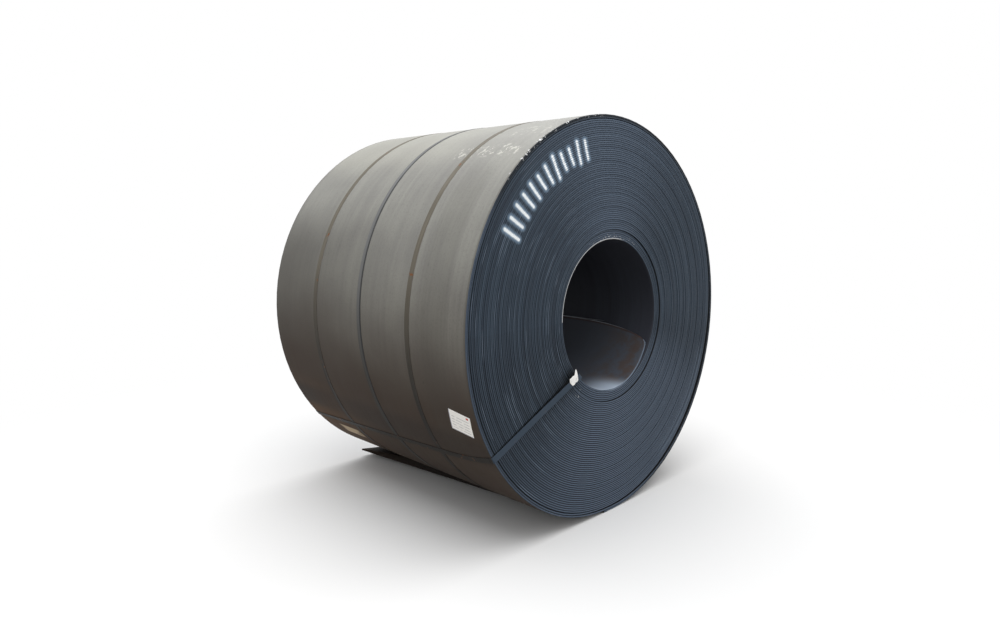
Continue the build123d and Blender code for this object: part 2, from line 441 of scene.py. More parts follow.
@dataclass(frozen=True)
class MillScale:
    """Hot-rolled steel under its mill scale: a thin satin grey oxide, streaked as it was rolled."""

    dark: str = "6c6b68"
    light: str = "81817b"
    pale: str = "9d9c91"
    soil_and_shade: str = "31241a"
    tan: str = "4a3012"
    shadow: str = "171210"
    chalk: str = "c1c0b6"
    pale_patch: str = "d0bea4"
    spot: str = "393631"
    chip_and_glint: str = "d9dbdd"
    groove: str = "0b0d10"
    bore: str = "26262d"
    bore_light: str = "3a3e47"
    bore_brown: str = "473930"
    bore_rust: str = "3f2a20"
    flap: str = "50555e"
    end_highlight: str = "898d94"
    mouth_light: str = "a0adbd"
    rust: str = "744320"
    roughness: float = 0.36
    soiled_roughness: float = 0.64
    ior: float = 1.3
    marks: TallyMarks = TallyMarks()

    def material(self, coil: "WoundStrip") -> bpy.types.Material:
        """Builds the material for the strip's rolled faces, outside and in the bore.

        Args:
            coil: The wound strip.

        Returns:
            The material.
        """
        shade = Shading(bpy.data.materials.new("hot_rolled_mill_scale"), coil)
        # Streaks are about 30 mm across and run most of a metre round the coil
        rolled = {"Vector": shade.spot, "Scale": (1.1, 1 / (30 * MM), 1.1)}
        noise = {"Vector": shade.node("Mapping", rolled), "Scale": 1.0}
        streak = shade.node("TexNoise", {**noise, "Detail": 6.0, "Roughness": 0.65})
        reach, hole = coil.outer_radius, coil.bore_radius
        outside = shade.node("MapRange", {0: shade.radius, 1: reach - 7 * MM, 2: reach - 3 * MM})
        between = shade.node("MapRange", {0: shade.radius, 1: hole + 12 * MM, 2: hole + 16 * MM})
        inside = self._bore(shade, streak)
        # Painted shade on the groove walls between the turns
        inside = shade.layered(inside, (self.groove, between), *self.marks.layers(shade))
        wrap = {0: outside, 6: inside, 7: self._wrap(shade, streak)}
        colour = shade.node("Mix", wrap, 2, data_type="RGBA")
        ends = {0: shade.soil_and_shade, 3: self.roughness, 4: self.soiled_roughness}
        dull = {0: streak, 1: 0.16, 2: shade.node("MapRange", ends)}
        roughness = shade.node("Math", dull, operation="MULTIPLY_ADD")
        # Fine grain of the scale, 4 mm wide, drawn coarser than the real one so that it shows
        fine = {"Vector": shade.spot, "Scale": (1 / (25 * MM), 1 / (4 * MM), 1 / (25 * MM))}
        noise = {"Vector": shade.node("Mapping", fine), "Scale": 1.0}
        grain = shade.node("TexNoise", {**noise, "Detail": 3.0})
        return shade.surface(colour, roughness, self.ior, (grain, 0.1, 1 * MM))

    def _wrap(self, shade: Shading, streak: Socket) -> Socket:
        """Colours the outside: grey scale, painted sheen and shade, dirt below, rubbed bands, chalk
        and chipped corners.

        Args:
            shade: Nodes of the material.
            streak: Noise along the rolling direction.

        Returns:
            The colour.
        """
        near, height = shade.near, shade.height
        noise = {"Vector": shade.spot, "Scale": 1 / (260 * MM), "Detail": 5.0}
        tone = shade.node("Mix", {0: 0.5, 2: streak, 3: shade.node("TexNoise", noise)})
        tone = shade.node("MapRange", {0: tone, 1: 0.34, 2: 0.66})
        far = shade.node("MapRange", {0: near, 1: 0.8, 2: 1.5}, **SMOOTH)
        end = shade.node("MapRange", {0: near, 1: 1.1, 2: 1.55}, **SMOOTH)
        # Painted dark reflection in a band low on the left, darker towards the far face
        band = shade.sector(-150.5, -147, 5)
        # Painted sheen makes the scale paler high up past the first strap; painted shade makes it
        # dimmer at mid-height on the left further off
        past = shade.node("MapRange", {0: near, 1: 0.3, 2: 0.8, 4: 0.32})
        left = shade.node("MapRange", {0: shade.across, 1: -0.4, 2: -0.8})
        further = shade.node("MapRange", {0: near, 1: 0.45, 2: 1.45, 4: 0.65})
        low = shade.node("MapRange", {0: height, 1: -0.34, 2: -0.6}, **SMOOTH)
        low_left = shade.node("MapRange", {0: shade.across, 1: 0.0, 2: -0.4})
        # Painted shade on the underside and the tail
        under = shade.node("MapRange", {0: height, 1: -0.9, 2: -0.97})
        rubbed = (shade.band(near, 0.15, 0.28, 0.05), shade.band(height, -0.4, 0.6, 0.2))
        # Chalk shows as short dashes about 20 mm long where the scale is rough
        dashes = shade.blotches(24 * MM, 0.53, 0.62)
        row = (shade.sector(124.5, 128.5, 1.5), shade.band(near, 0.09, 0.48, 0.03), dashes)
        patch = (shade.sector(113, 118, 2), shade.band(near, 0.06, 0.24, 0.04), dashes)
        # A pale streak low on the left, near the far face
        pale_patch_place = (shade.sector(-135.2, -131.6, 0.8), shade.band(near, 1.24, 1.37, 0.05))
        cells = {"Vector": shade.spot, "Scale": 1 / (300 * MM)}
        middles = {0: shade.node("TexVoronoi", cells, "Distance"), 1: 0.03, 2: 0.015}
        corner = shade.node("MapRange", {0: near, 1: 0.016, 2: 0.006}, **SMOOTH)
        return shade.layered(
            self.dark,
            (self.light, tone),
            # Painted sheen high up
            (self.pale, shade.sector(100, 124, 14), past),
            # Painted shade on the left flank at mid-height
            (self.spot, shade.band(height, -0.24, 0.3, 0.3), left, further),
            # Yard dirt with painted shade, darker towards the bottom
            (self.soil_and_shade, shade.soil_and_shade, 0.95),
            (self.tan, low, low_left, far, 0.75),
            (self.shadow, under, 0.85),
            (self.shadow, band, 0.4),
            (self.shadow, band, end, 0.6),
            # Painted shade along the far rim's corner
            (self.shadow, shade.band(near, 1.574, 1.59, 0.004), 0.5),
            (self.spot, *rubbed, 0.2),
            (self.spot, shade.blotches(10 * MM, 0.48, 0.7), 0.16),
            (self.chalk, *row, 0.5),
            (self.chalk, *patch, 0.28),
            (self.pale_patch, *pale_patch_place, shade.blotches(60 * MM, 0.3, 0.5), 0.9),
            (self.spot, shade.node("MapRange", middles, **SMOOTH), 0.75),
            (self.spot, corner, 0.45),
            (self.chip_and_glint, corner, shade.sector(97, 136, 4), shade.blotches(18 * MM, 0.58, 0.63)),
        )

    def _bore(self, shade: Shading, streak: Socket) -> Socket:
        """Colours the bore: dark scale, browned low on one side, painted light on its floor at the
        mouth.

        Args:
            shade: Nodes of the material.
            streak: Noise along the rolling direction.

        Returns:
            The colour.
        """
        near = shade.near
        front = shade.node("MapRange", {0: near, 1: 0.42, 2: 0.0}, **SMOOTH)
        mouth = shade.node("MapRange", {0: near, 1: 0.26, 2: 0.0}, **SMOOTH)
        turn = shade.node("Attribute", out="Fac", attribute_name="turn")
        flap = shade.node("MapRange", {0: turn, 1: 0.21, 2: 0.2})
        inset = self._from_end(shade, turn)
        browned = (shade.sector(-72, -24, 14), front, shade.blotches(70 * MM, 0.36, 0.6))
        corner = shade.band(near, 0.0, 0.06, 0.05)
        return shade.layered(
            self.bore,
            (self.bore_light, streak),
            (self.flap, flap, 0.55),
            (self.bore_brown, *browned, flap, 0.75),
            # Painted pool of light on the bore's floor at the mouth
            (self.mouth_light, shade.sector(-106, -84, 18), mouth, 0.9),
            (self.bore_rust, shade.band(inset, 9 * MM, 13 * MM, 6 * MM), flap, 0.6),
            # Painted highlight along the strip's inner end
            (self.end_highlight, shade.band(inset, -6 * MM, 5 * MM, 3 * MM), flap, 0.9),
            (self.rust, shade.band(inset, 3 * MM, 10 * MM, 4 * MM), flap, corner, 0.5),
        )

    def _from_end(self, shade: Shading, turn: Socket) -> Socket:
        """Measures along the strip from its rounded inner end.

        Args:
            shade: Nodes of the material.
            turn: Turns from the inner end.

        Returns:
            The distance.
        """
        coil = shade.coil
        corner = {0: shade.near, 1: 0.0, 2: coil.tongue_along, 3: 1.0, 4: 0.0}
        share = shade.node("Math", {0: shade.node("MapRange", corner), 1: 2.0}, operation="POWER")
        share = shade.node("Math", {0: 1.0, 1: share}, operation="SUBTRACT")
        share = shade.node("Math", {0: share}, operation="SQRT")
        end = shade.node("MapRange", {0: share, 3: -coil.tongue_across, 4: 0.0})
        length = {0: turn, 1: math.tau * coil.bore_radius, 2: end}
        return shade.node("Math", length, operation="MULTIPLY_ADD")


@dataclass(frozen=True)
class MillEdge:
    """Edges of the strip as the mill left them: dull slate oxide, each turn of its own tone."""

    dark: str = "2a3440"
    light: str = "3c4957"
    painted_sheen: str = "67768b"
    corner_shade: str = "11161e"
    bright: str = "6c7a8b"
    band: str = "4c586a"
    near_black: str = "070a0c"
    chip_and_glint: str = "d9dbdd"
    smoothest: float = 0.54
    roughest: float = 0.72
    ior: float = 1.3
    marks: TallyMarks = TallyMarks()

    def material(self, coil: "WoundStrip") -> bpy.types.Material:
        """Builds the material for the strip's edges.

        Args:
            coil: The wound strip.

        Returns:
            The material.
        """
        shade = Shading(bpy.data.materials.new("mill_edge_scale"), coil)
        turn = shade.node("Attribute", out="Fac", attribute_name="turn")
        # Tone runs on along the strip: whole turns differ, and short lengths of one turn a little
        run = {"W": turn, "Scale": 1.7, "Detail": 4.0}
        lap = {0: shade.node("TexNoise", run, noise_dimensions="1D"), 1: 0.3, 2: 0.7}
        # Painted sheen: the edges are lighter where the turns run level, at the top and bottom
        tilt = shade.node("Math", {0: shade.height, 1: shade.radius}, operation="DIVIDE")
        tilt = shade.node("Math", {0: tilt}, operation="ABSOLUTE")
        painted_sheen = shade.node("Math", {0: tilt, 1: 6.0}, operation="POWER")
        flecks = shade.blotches(11 * MM, 0.6, 0.66)
        hole = coil.bore_radius
        mouth = shade.node("MapRange", {0: shade.radius, 1: hole + 30 * MM, 2: hole + 16 * MM})
        scuff = (shade.band(shade.radius, 0.42, 0.46, 0.02), shade.sector(-131, -126, 2))
        rim_chips = (shade.sector(97, 136, 4), shade.blotches(18 * MM, 0.58, 0.63))
        colour = shade.layered(
            self.dark,
            (self.light, shade.node("MapRange", lap)),
            # Painted sheen where the turns run level, and low on the right
            (self.painted_sheen, painted_sheen, 0.36),
            (self.painted_sheen, shade.sector(-112, -42, 32), 0.4),
            *self._laps(shade, turn),
            *self._rims(shade),
            # Painted shadow beside the eye strap
            (self.near_black, self._strap_shadow(shade), shade.marked),
            *self.marks.layers(shade),
            (self.chip_and_glint, self._from_rim(shade, 13, 6), *rim_chips, shade.marked, 0.95),
            (self.chip_and_glint, mouth, shade.sector(62, 112, 8), flecks, shade.marked, 0.8),
            (self.chip_and_glint, *scuff, flecks, shade.marked, 0.6),
        )
        noise = {"Vector": shade.spot, "Scale": 1 / (7 * MM), "Detail": 3.0}
        pits = shade.node("TexNoise", noise)
        dull = {0: pits, 1: 0.3, 2: 0.7, 3: self.smoothest, 4: self.roughest}
        return shade.surface(colour, shade.node("MapRange", dull), self.ior, (pits, 0.1, 1 * MM))

    def _laps(self, shade: Shading, turn: Socket) -> list[Layer]:
        """Draws each turn's edge: painted highlights along its middle, painted shade in its rounded
        corners.

        Args:
            shade: Nodes of the material.
            turn: Turns from the strip's inner end.

        Returns:
            The layers.
        """
        depth = shade.node("Attribute", out="Fac", attribute_name="depth")
        flat = shade.band(depth, 3.0 * MM, shade.coil.gauge - 3.0 * MM, 1.8 * MM)
        crisp = shade.node("MapRange", {0: shade.sector(-160, -20, 30), 3: 0.3, 4: 0.85})
        lengths = {"W": turn, "Scale": 14.0, "Detail": 2.0}
        glints = {0: shade.node("TexNoise", lengths, noise_dimensions="1D"), 1: 0.58, 2: 0.7}
        thin = shade.band(depth, 4.0 * MM, 5.0 * MM, 1.5 * MM)
        left = shade.node("MapRange", {0: shade.across, 1: 0.0, 2: -0.8, 3: 0.2, 4: 0.75})
        inner_arc = shade.band(shade.radius, 0.892, 0.902, 0.004)
        outer_arc = shade.band(shade.radius, 0.926, 0.936, 0.004)
        arcs = shade.node("Math", {0: inner_arc, 1: outer_arc}, operation="ADD")
        first = shade.node("MapRange", {0: turn, 1: 1.3, 2: 1.25})
        line = (shade.band(depth, -1 * MM, 4 * MM, 2 * MM), first, shade.sector(85, 200, 12))
        return [
            # Painted shade in each turn's rounded corners, stronger below
            (self.corner_shade, shade.node("MapRange", {0: flat, 3: crisp, 4: 0.0})),
            # Painted highlights along the middle of the turns' edges, more on the left
            (self.bright, shade.node("MapRange", glints, **SMOOTH), left, thin),
            (self.bright, arcs, shade.sector(-58, -22, 8), shade.marked, 0.3),
            # Painted highlight at the strip's inner end
            (self.bright, shade.node("MapRange", {0: turn, 1: 0.22, 2: 0.2}), 0.8),
            # Painted highlight along the bore's rim, on the left and top
            (self.chip_and_glint, *line, shade.marked, 0.7),
        ]

    def _from_rim(self, shade: Shading, start: float, full: float) -> Socket:
        """Marks a border along the rim.

        Args:
            shade: Nodes of the material.
            start: Distance from the rim, in millimetres, at which the border starts.
            full: Distance at which it is full.

        Returns:
            0 to 1.
        """
        rim = shade.coil.outer_radius
        border = {0: shade.radius, 1: rim - start * MM, 2: rim - full * MM}
        return shade.node("MapRange", border)

    def _rims(self, shade: Shading) -> list[Layer]:
        """Darkens the outer turns above and on the right, and pales them on the left.

        Args:
            shade: Nodes of the material.

        Returns:
            The layers.
        """
        rim = self._from_rim(shade, 16, 12)
        left = shade.node("MapRange", {0: shade.across, 1: -0.5, 2: -0.85})
        return [
            (self.band, rim, left, 0.35),
            (self.near_black, self._from_rim(shade, 18, 13), shade.sector(60, 140, 14), 0.8),
            (self.near_black, rim, shade.sector(-60, 60, 25), 0.9),
        ]

    def _strap_shadow(self, shade: Shading) -> Socket:
        """Marks painted shadow along the upper side of the eye strap: a dark line, and softer shade
        near the bore.

        Args:
            shade: Nodes of the material.

        Returns:
            How dark the line is.
        """
        start, end = EyeStrap.on_face(shade.coil)
        run = (end - start).normalized()
        upper = Vector((run.z, 0, -run.x))
        off = shade.node("VectorMath", {0: shade.spot, 1: start}, operation="SUBTRACT")
        gap = shade.node("VectorMath", {0: off, 1: upper}, "Value", operation="DOT_PRODUCT")
        far = shade.node("VectorMath", {0: off, 1: run}, "Value", operation="DOT_PRODUCT")
        line = shade.overlap(shade.band(gap, 8 * MM, 19 * MM, 4 * MM), 0.9)
        inner = shade.node("MapRange", {0: far, 1: 0.34, 2: 0.0}, **SMOOTH)
        cloud = shade.overlap(shade.band(gap, 0.0, 22 * MM, 60 * MM), inner, 0.75)
        shadow = shade.node("Math", {0: line, 1: cloud}, operation="MAXIMUM")
        return shade.overlap(shadow, shade.node("MapRange", {0: far, 1: -0.03, 2: 0.0}))


@dataclass(frozen=True)
class StrapSteel:
    """Waxed steel strapping: dull, streaked along its length, dirty with painted shade below and
    rusting in spots.
    """

    name: str
    steel: str
    soil_and_shade: str = "130f0c"
    front_edge: str = ""
    on_face: str = ""
    worn: str = "656059"
    rust: str = "70401c"
    rusting: float = 0.8
    smoothest: float = 0.4
    roughest: float = 0.62
    ior: float = 1.2

    def material(self, coil: "WoundStrip") -> bpy.types.Material:
        """Builds the material.

        Args:
            coil: The wound strip that carries the strap.

        Returns:
            The material.
        """
        shade = Shading(bpy.data.materials.new(self.name), coil)
        side = shade.node("Attribute", out="Fac", attribute_name="side")
        # Rolling streaks are 3 mm wide and about 200 mm long
        fine = shade.node("Mapping", {"Vector": shade.spot, "Scale": (5, 1 / (3 * MM), 5)})
        streak = shade.node("TexNoise", {"Vector": fine, "Scale": 1.0, "Detail": 3.0})
        off = shade.node("Math", {0: side}, operation="ABSOLUTE")
        layers: list[Layer] = [
            (self.soil_and_shade, shade.node("MapRange", {0: streak, 1: 0.3, 2: 0.7, 3: 0.0, 4: 0.35})),
            (self.worn, shade.node("MapRange", {0: off, 1: 0.78, 2: 0.97, 3: 0.0, 4: 0.35})),
            # Dirt with painted shade on the coil's lower half
            (self.soil_and_shade, shade.soil_and_shade, 0.95),
            (self.rust, shade.blotches(45 * MM, 0.63, 0.7), self.rusting),
        ]
        if self.on_face:
            out = shade.node("Math", {0: shade.along}, operation="ABSOLUTE")
            face = {0: out, 1: coil.half_width - 4 * MM, 2: coil.half_width}
            layers.append((self.on_face, shade.node("MapRange", face), 0.92))
        if self.front_edge:
            # Painted shadow along the strap's front edge
            line = shade.node("MapRange", {0: side, 1: -0.3, 2: -0.5}, **SMOOTH)
            layers.append((self.front_edge, line, 0.72))
        colour = shade.layered(self.steel, *layers)
        dull = {0: streak, 1: 0.3, 2: 0.7, 3: self.smoothest, 4: self.roughest}
        roughness = shade.node("MapRange", dull)
        return shade.surface(colour, roughness, self.ior, (streak, 0.15, 0.5 * MM))


@dataclass(frozen=True)
class LabelPaper:
    """Printed white label stock: matt, with pale grey rules, a thin border and a red patch."""

    sheet: str = "fafaf9"
    rule: str = "b4b7bd"
    border: str = "9296b4"
    patch: str = "c4473a"
    roughness: float = 0.75
    ior: float = 1.5
    rules: int = 7

    def material(self) -> bpy.types.Material:
        """Builds the material.

        Returns:
            The material.
        """
        shade = Shading(bpy.data.materials.new("label_paper"))
        across = shade.node("Attribute", out="Fac", attribute_name="across")
        down = shade.node("Attribute", out="Fac", attribute_name="down")
        row = shade.node("Math", {0: down, 1: self.rules / 2}, operation="MULTIPLY")
        row = shade.node("Math", {0: row}, operation="FRACT")
        lines = (
            shade.band(row, 0.42, 0.58, 0.12),
            shade.band(across, -0.8, 0.8, 0.02),
            shade.band(down, -0.55, 0.85, 0.02),
            shade.blotches(20 * MM, 0.38, 0.5),
        )
        edge = shade.node("Math", {0: across, 1: down}, operation="MAXIMUM")
        edge = shade.node("MapRange", {0: edge, 1: 0.9, 2: 0.96})
        patch = (shade.band(across, -0.8, -0.62, 0.04), shade.band(down, -0.84, -0.7, 0.04))
        colour = shade.layered(
            self.sheet, (self.rule, *lines, 0.7), (self.border, edge, 0.6), (self.patch, *patch)
        )
        noise = {"Vector": shade.seat, "Scale": 1 / (2 * MM), "Detail": 2.0}
        fibre = (shade.node("TexNoise", noise), 0.08, 0.2 * MM)
        return shade.surface(colour, self.roughness, self.ior, fibre)


@dataclass(frozen=True)
class TornPaper:
    """Torn white tag paper: matt, creased, with a dirty spot or two."""

    sheet: str = "f8f8f7"
    crease_shade: str = "b9babc"
    dirt: str = "4c4a48"
    roughness: float = 0.85
    ior: float = 1.5

    def material(self) -> bpy.types.Material:
        """Builds the material.

        Returns:
            The material.
        """
        shade = Shading(bpy.data.materials.new("torn_tag_paper"))
        colour = shade.layered(
            self.sheet,
            # Painted shade in the creases
            (self.crease_shade, shade.blotches(14 * MM, 0.56, 0.66), 0.5),
            (self.dirt, shade.blotches(22 * MM, 0.66, 0.72), 0.7),
        )
        noise = {"Vector": shade.seat, "Scale": 1 / (9 * MM), "Detail": 2.0}
        crumple = (shade.node("TexNoise", noise), 0.3, 2 * MM)
        return shade.surface(colour, self.roughness, self.ior, crumple)


@dataclass(frozen=True)
class Layers:
    """Vertex layers that say where on the strip a point is, until it is wound."""

    turn: bmesh.types.BMLayerItem
    depth: bmesh.types.BMLayerItem
    along: bmesh.types.BMLayerItem


@dataclass
class WoundStrip:
    """The strip wound into a coil: one solid, its turns parted at both faces, and its two ends.

    Lengths are in metres. Angles are in degrees, from +X towards +Z as seen from the marked face.
    """

    bore_radius: float
    outer_radius: float
    axis_height: float
    half_width: float
    gauge: float = 9.0 * MM
    lap_pitch: float = 9.67 * MM
    head_angle: float = -16.0
    bottom_angle: float = -90.0
    body_laps: int = 61
    loose_laps: int = 2
    steps: int = 96
    lip_round: float = 1.2 * MM
    groove_depth: float = 12.0 * MM
    slack_depth: float = 60.0 * MM
    slack_fade: float = 0.05
    slack_narrow: float = 2.5 * MM
    slack_room: float = 19.0 * MM
    slack_angle: float = -30.0
    head_climb: float = 70.0
    tail_climb: float = 26.0
    tongue_along: float = 540.0 * MM
    tongue_across: float = 100.0 * MM
    tongue_steps: int = 12
    tail_radius: float = 2640.0 * MM
    tail_reach: float = 276.0 * MM
    tail_corner_reach: float = 445.0 * MM
    tail_corner_length: float = 380.0 * MM
    tail_near_reach: float = 60.0 * MM
    tail_near_length: float = 180.0 * MM
    tail_steps: int = 8
    set_back: float = 7.0 * MM
    set_back_turn: float = 5.4
    set_back_fade: float = 0.28
    flap_back: float = 27.0 * MM
    head_rows: int = 14
    # Share of the width that an end's side against the coil keeps
    seated_share: float = 0.97
    # Size in metres, rate per turn and start of each wave in how the strip was fed in
    waves: tuple[tuple[float, float, float], ...] = (
        (0.55 * MM, 0.43, 0.3),
        (0.6 * MM, 0.127, 1.9),
        (0.35 * MM, 0.291, 4.1),
    )

    @property
    def first_turn(self) -> float:
        """Turns from the strip's inner end to the coil's lowest line."""
        return (self.head_angle - self.bottom_angle) / 360

    @property
    def tail_turn(self) -> float:
        """Turns from the strip's inner end to where its tail leaves the coil."""
        return self.first_turn + self.body_laps + self.loose_laps

    @property
    def tail_end(self) -> Vector:
        """The tail's end under the straps, measured from the axis."""
        height = math.sqrt(self.tail_radius**2 - self.tail_reach**2)
        return Vector((-self.tail_reach, 0, self.tail_radius - self.outer_radius - height))

    def angle(self, turn: float) -> float:
        """Angle about the axis, in radians, after a number of turns from the inner end."""
        return math.radians(self.head_angle - 360 * turn)

    def lap_rise(self, lap: float, part: float) -> float:
        """How far a turn has risen towards the next one.

        Args:
            lap: Turns counted from the lowest line.
            part: Share of the turn done.

        Returns:
            0 to 1. Inner turns climb over the strip's inner end, outer ones behind its tail.
        """
        head_part = 1 + (self.bottom_angle - self.head_angle - self.head_climb) / 360
        over_head = eased((part - head_part) / (self.head_climb / 360))
        past_tail = eased(part / (self.tail_climb / 360))
        return blend(over_head, past_tail, min(max(lap / self.body_laps, 0.0), 1.0))

    def inner_radius(self, turn: float) -> float:
        """Radius of the strip's inner face.

        Args:
            turn: Turns from the strip's inner end.

        Returns:
            The radius.
        """
        lap = math.floor(turn - self.first_turn + ROUNDING)
        part = turn - self.first_turn - lap
        rise = self.lap_rise(lap, part)
        sag = max(math.cos(self.angle(turn) - math.radians(self.slack_angle)), 0.0) ** 3
        slack = self.slack_narrow + self.slack_room * sag
        body_reach = self.outer_radius - self.loose_laps * self.lap_pitch - slack
        body_wall = body_reach - self.gauge - self.bore_radius
        if lap < self.body_laps:
            return self.bore_radius + body_wall * (lap + rise) / self.body_laps
        settled = self.outer_radius - self.gauge - (self.loose_laps - 1) * self.lap_pitch
        if lap == self.body_laps:
            return blend(self.bore_radius + body_wall, settled, rise)
        return settled + (lap - self.body_laps - 1 + rise) * self.lap_pitch

    def wander(self, turn: float) -> float:
        """How far a turn stands out along the axis, from how the strip was fed in."""
        run = math.tau * turn
        return sum(size * math.sin(rate * run + start) for size, rate, start in self.waves)

    def recess(self, turn: float) -> float:
        """How far the inner turns, and most of all the inner end, sit back from the marked face.

        Args:
            turn: Turns from the strip's inner end.

        Returns:
            The distance at the marked face.
        """
        inner_end = max(1 - turn / self.first_turn, 0.0) ** 2
        outside = eased((turn - self.set_back_turn) / self.set_back_fade)
        return self.set_back * (1 - outside) + self.flap_back * inner_end

    def groove(self, turn: float) -> float:
        """Depth of the groove outside a turn.

        Args:
            turn: Turns from the strip's inner end.

        Returns:
            The depth. It is deep where the loose turns hang clear.
        """
        part = turn - self.first_turn - (self.body_laps - 1)
        slack = eased(part / self.slack_fade) * eased((1 - part) / self.slack_fade)
        return blend(self.groove_depth, self.slack_depth, slack)

    def tongue_half(self, turn: float) -> float:
        """Half the strip's width near its inner end, where its corners are rounded off.

        Args:
            turn: Turns from the strip's inner end.

        Returns:
            Half the width.
        """
        left = 1 - turn * math.tau * self.bore_radius / self.tongue_across
        if left <= 0:
            return self.half_width
        return self.half_width - self.tongue_along * (1 - math.sqrt(1 - left * left))

    def point(self, turn: float, depth: float, along: float) -> Vector:
        """Winds a point of the strip.

        Args:
            turn: Turns from the inner end; past the tail's start, shares of the tail.
            depth: Distance outwards from the strip's inner face.
            along: Distance from mid-width, towards the far face.

        Returns:
            Its place.
        """
        if turn > self.tail_turn:
            corner = max(1 - (self.half_width - along) / self.tail_corner_length, 0.0)
            cropped = max(1 - (self.half_width + along) / self.tail_near_length, 0.0)
            reach = blend(self.tail_reach, self.tail_corner_reach, corner)
            reach = blend(reach, self.tail_near_reach, cropped)
            angle = (turn - self.tail_turn) * math.asin(reach / self.tail_radius)
            radius = self.tail_radius - self.gauge + depth
            centre = self.axis_height - self.outer_radius + self.tail_radius
            across, height = -radius * math.sin(angle), centre - radius * math.cos(angle)
            return Vector((across, along + self.wander(self.tail_turn), height))
        short = math.copysign(self.half_width - self.tongue_half(turn), along) if along else 0.0
        back = self.recess(turn) * max(-along, 0.0) / self.half_width
        radius, angle = self.inner_radius(turn) + depth, self.angle(turn)
        across, height = radius * math.cos(angle), self.axis_height + radius * math.sin(angle)
        return Vector((across, along - short + back + self.wander(turn), height))

    def profile(self) -> Iterator[tuple[int, float, float]]:
        """Walks half the coil's section, from the bore to the outer turn.

        Yields:
            The lap, the depth into its thickness and the distance inwards from the strip's edge;
            that distance is negative where the groove's own depth holds.
        """
        last = self.body_laps + self.loose_laps - 1
        yield 0, 0.0, self.half_width
        for lap in range(last + 1):
            yield lap, 0.0, -1.0
            yield lap, 0.0, self.lip_round
            yield lap, self.lip_round, 0.0
            yield lap, self.gauge - self.lip_round, 0.0
            yield lap, self.gauge, self.lip_round
            yield lap, self.gauge, -1.0
        yield last, self.gauge, self.half_width

    def _turned_body(self, bm: bmesh.types.BMesh, at: Layers) -> None:
        """Spins half the section, mirrors it, and numbers each point's turn.

        Args:
            bm: Mesh that takes the body.
            at: Layers that take each point's place on the strip.
        """
        inward = bm.verts.layers.float.new("inward")
        chain = []
        for lap, depth, inset in self.profile():
            vert = bm.verts.new((0.0, 0.0, 1.0 + len(chain) * MM))
            vert[at.turn], vert[at.depth], vert[inward] = lap, depth, inset
            chain.append(vert)
        edges = [bm.edges.new(pair) for pair in zip(chain, chain[1:])]
        # Half a turn here stands for a whole turn of the winding, so that start and end differ
        bmesh.ops.spin(
            bm, geom=chain + edges, cent=(0, 0, 0), axis=(0, 1, 0), angle=math.pi, steps=self.steps
        )
        for vert in bm.verts:
            share = abs(math.atan2(vert.co.x, vert.co.z)) / math.pi
            vert[at.turn] += self.first_turn + round(share * self.steps) / self.steps
            if vert[inward] < 0:
                groove_turn = vert[at.turn] - (1 if vert[at.depth] == 0.0 else 0)
                vert[inward] = self.groove(groove_turn)
            vert[at.along] = vert[inward] - self.half_width
        mirrored = bmesh.ops.duplicate(bm, geom=bm.verts[:] + bm.edges[:] + bm.faces[:])["geom"]
        for part in mirrored:
            if isinstance(part, bmesh.types.BMVert):
                part[at.along] = -part[at.along]
        bm.verts.layers.float.remove(inward)

    def _run_on(
        self,
        bm: bmesh.types.BMesh,
        at: Layers,
        face: bmesh.types.BMFace,
        turns: list[float],
        depth: float,
    ) -> None:
        """Extrudes one of the strip's ends on from the coil.

        Args:
            bm: Mesh of the coil.
            at: Layers of each point's place on the strip.
            face: Cut through the strip where it leaves the coil.
            turns: The turns at which it gets a row of points.
            depth: Depth of its side against the coil.
        """
        start = turns[0]
        for turn in turns[1:]:
            grown = bmesh.ops.extrude_face_region(bm, geom=[face])["geom"]
            bmesh.ops.delete(bm, geom=[face], context="FACES_ONLY")
            for part in grown:
                if isinstance(part, bmesh.types.BMVert):
                    # The cut's side against the coil is numbered with the next turn
                    if abs(part[at.turn] - start) > 0.5:
                        part[at.depth] = depth
                        part[at.along] *= self.seated_share
                    part[at.turn] = turn
            face = next(part for part in grown if isinstance(part, bmesh.types.BMFace))
            start = turn

    def _wind(self, bm: bmesh.types.BMesh, at: Layers) -> None:
        """Puts every point where the winding takes it."""
        for vert in bm.verts:
            vert.co = self.point(vert[at.turn], vert[at.depth], vert[at.along])

    def _head_turns(self) -> list[float]:
        """Spaces the rows of points from the lowest line to the strip's rounded inner end.

        Returns:
            The turn of each row, closer together where the end is rounder.
        """
        length = math.tau * self.bore_radius
        tongue = [
            self.tongue_across * (1 - math.cos(math.pi / 2 * step / self.tongue_steps)) / length
            for step in range(self.tongue_steps, -1, -1)
        ]
        shares = [row / self.head_rows for row in range(self.head_rows)]
        return [blend(self.first_turn, tongue[0], share) for share in shares] + tongue

    def _seat_corners(self, bm: bmesh.types.BMesh, at: Layers) -> None:
        """Moves points of the tail to where its end turns aslant.

        Args:
            bm: Mesh of the coil.
            at: Layers of each point's place on the strip.
        """
        for vert in bm.verts:
            if vert[at.turn] > self.tail_turn + CLOSE:
                room = 2 * (self.lip_round if vert[at.depth] else self.groove_depth)
                if abs(vert[at.along]) < CLOSE:
                    vert[at.along] = self.half_width - self.tail_corner_length
                elif room < vert[at.along] + self.half_width < self.half_width / 2:
                    vert[at.along] = self.tail_near_length - self.half_width

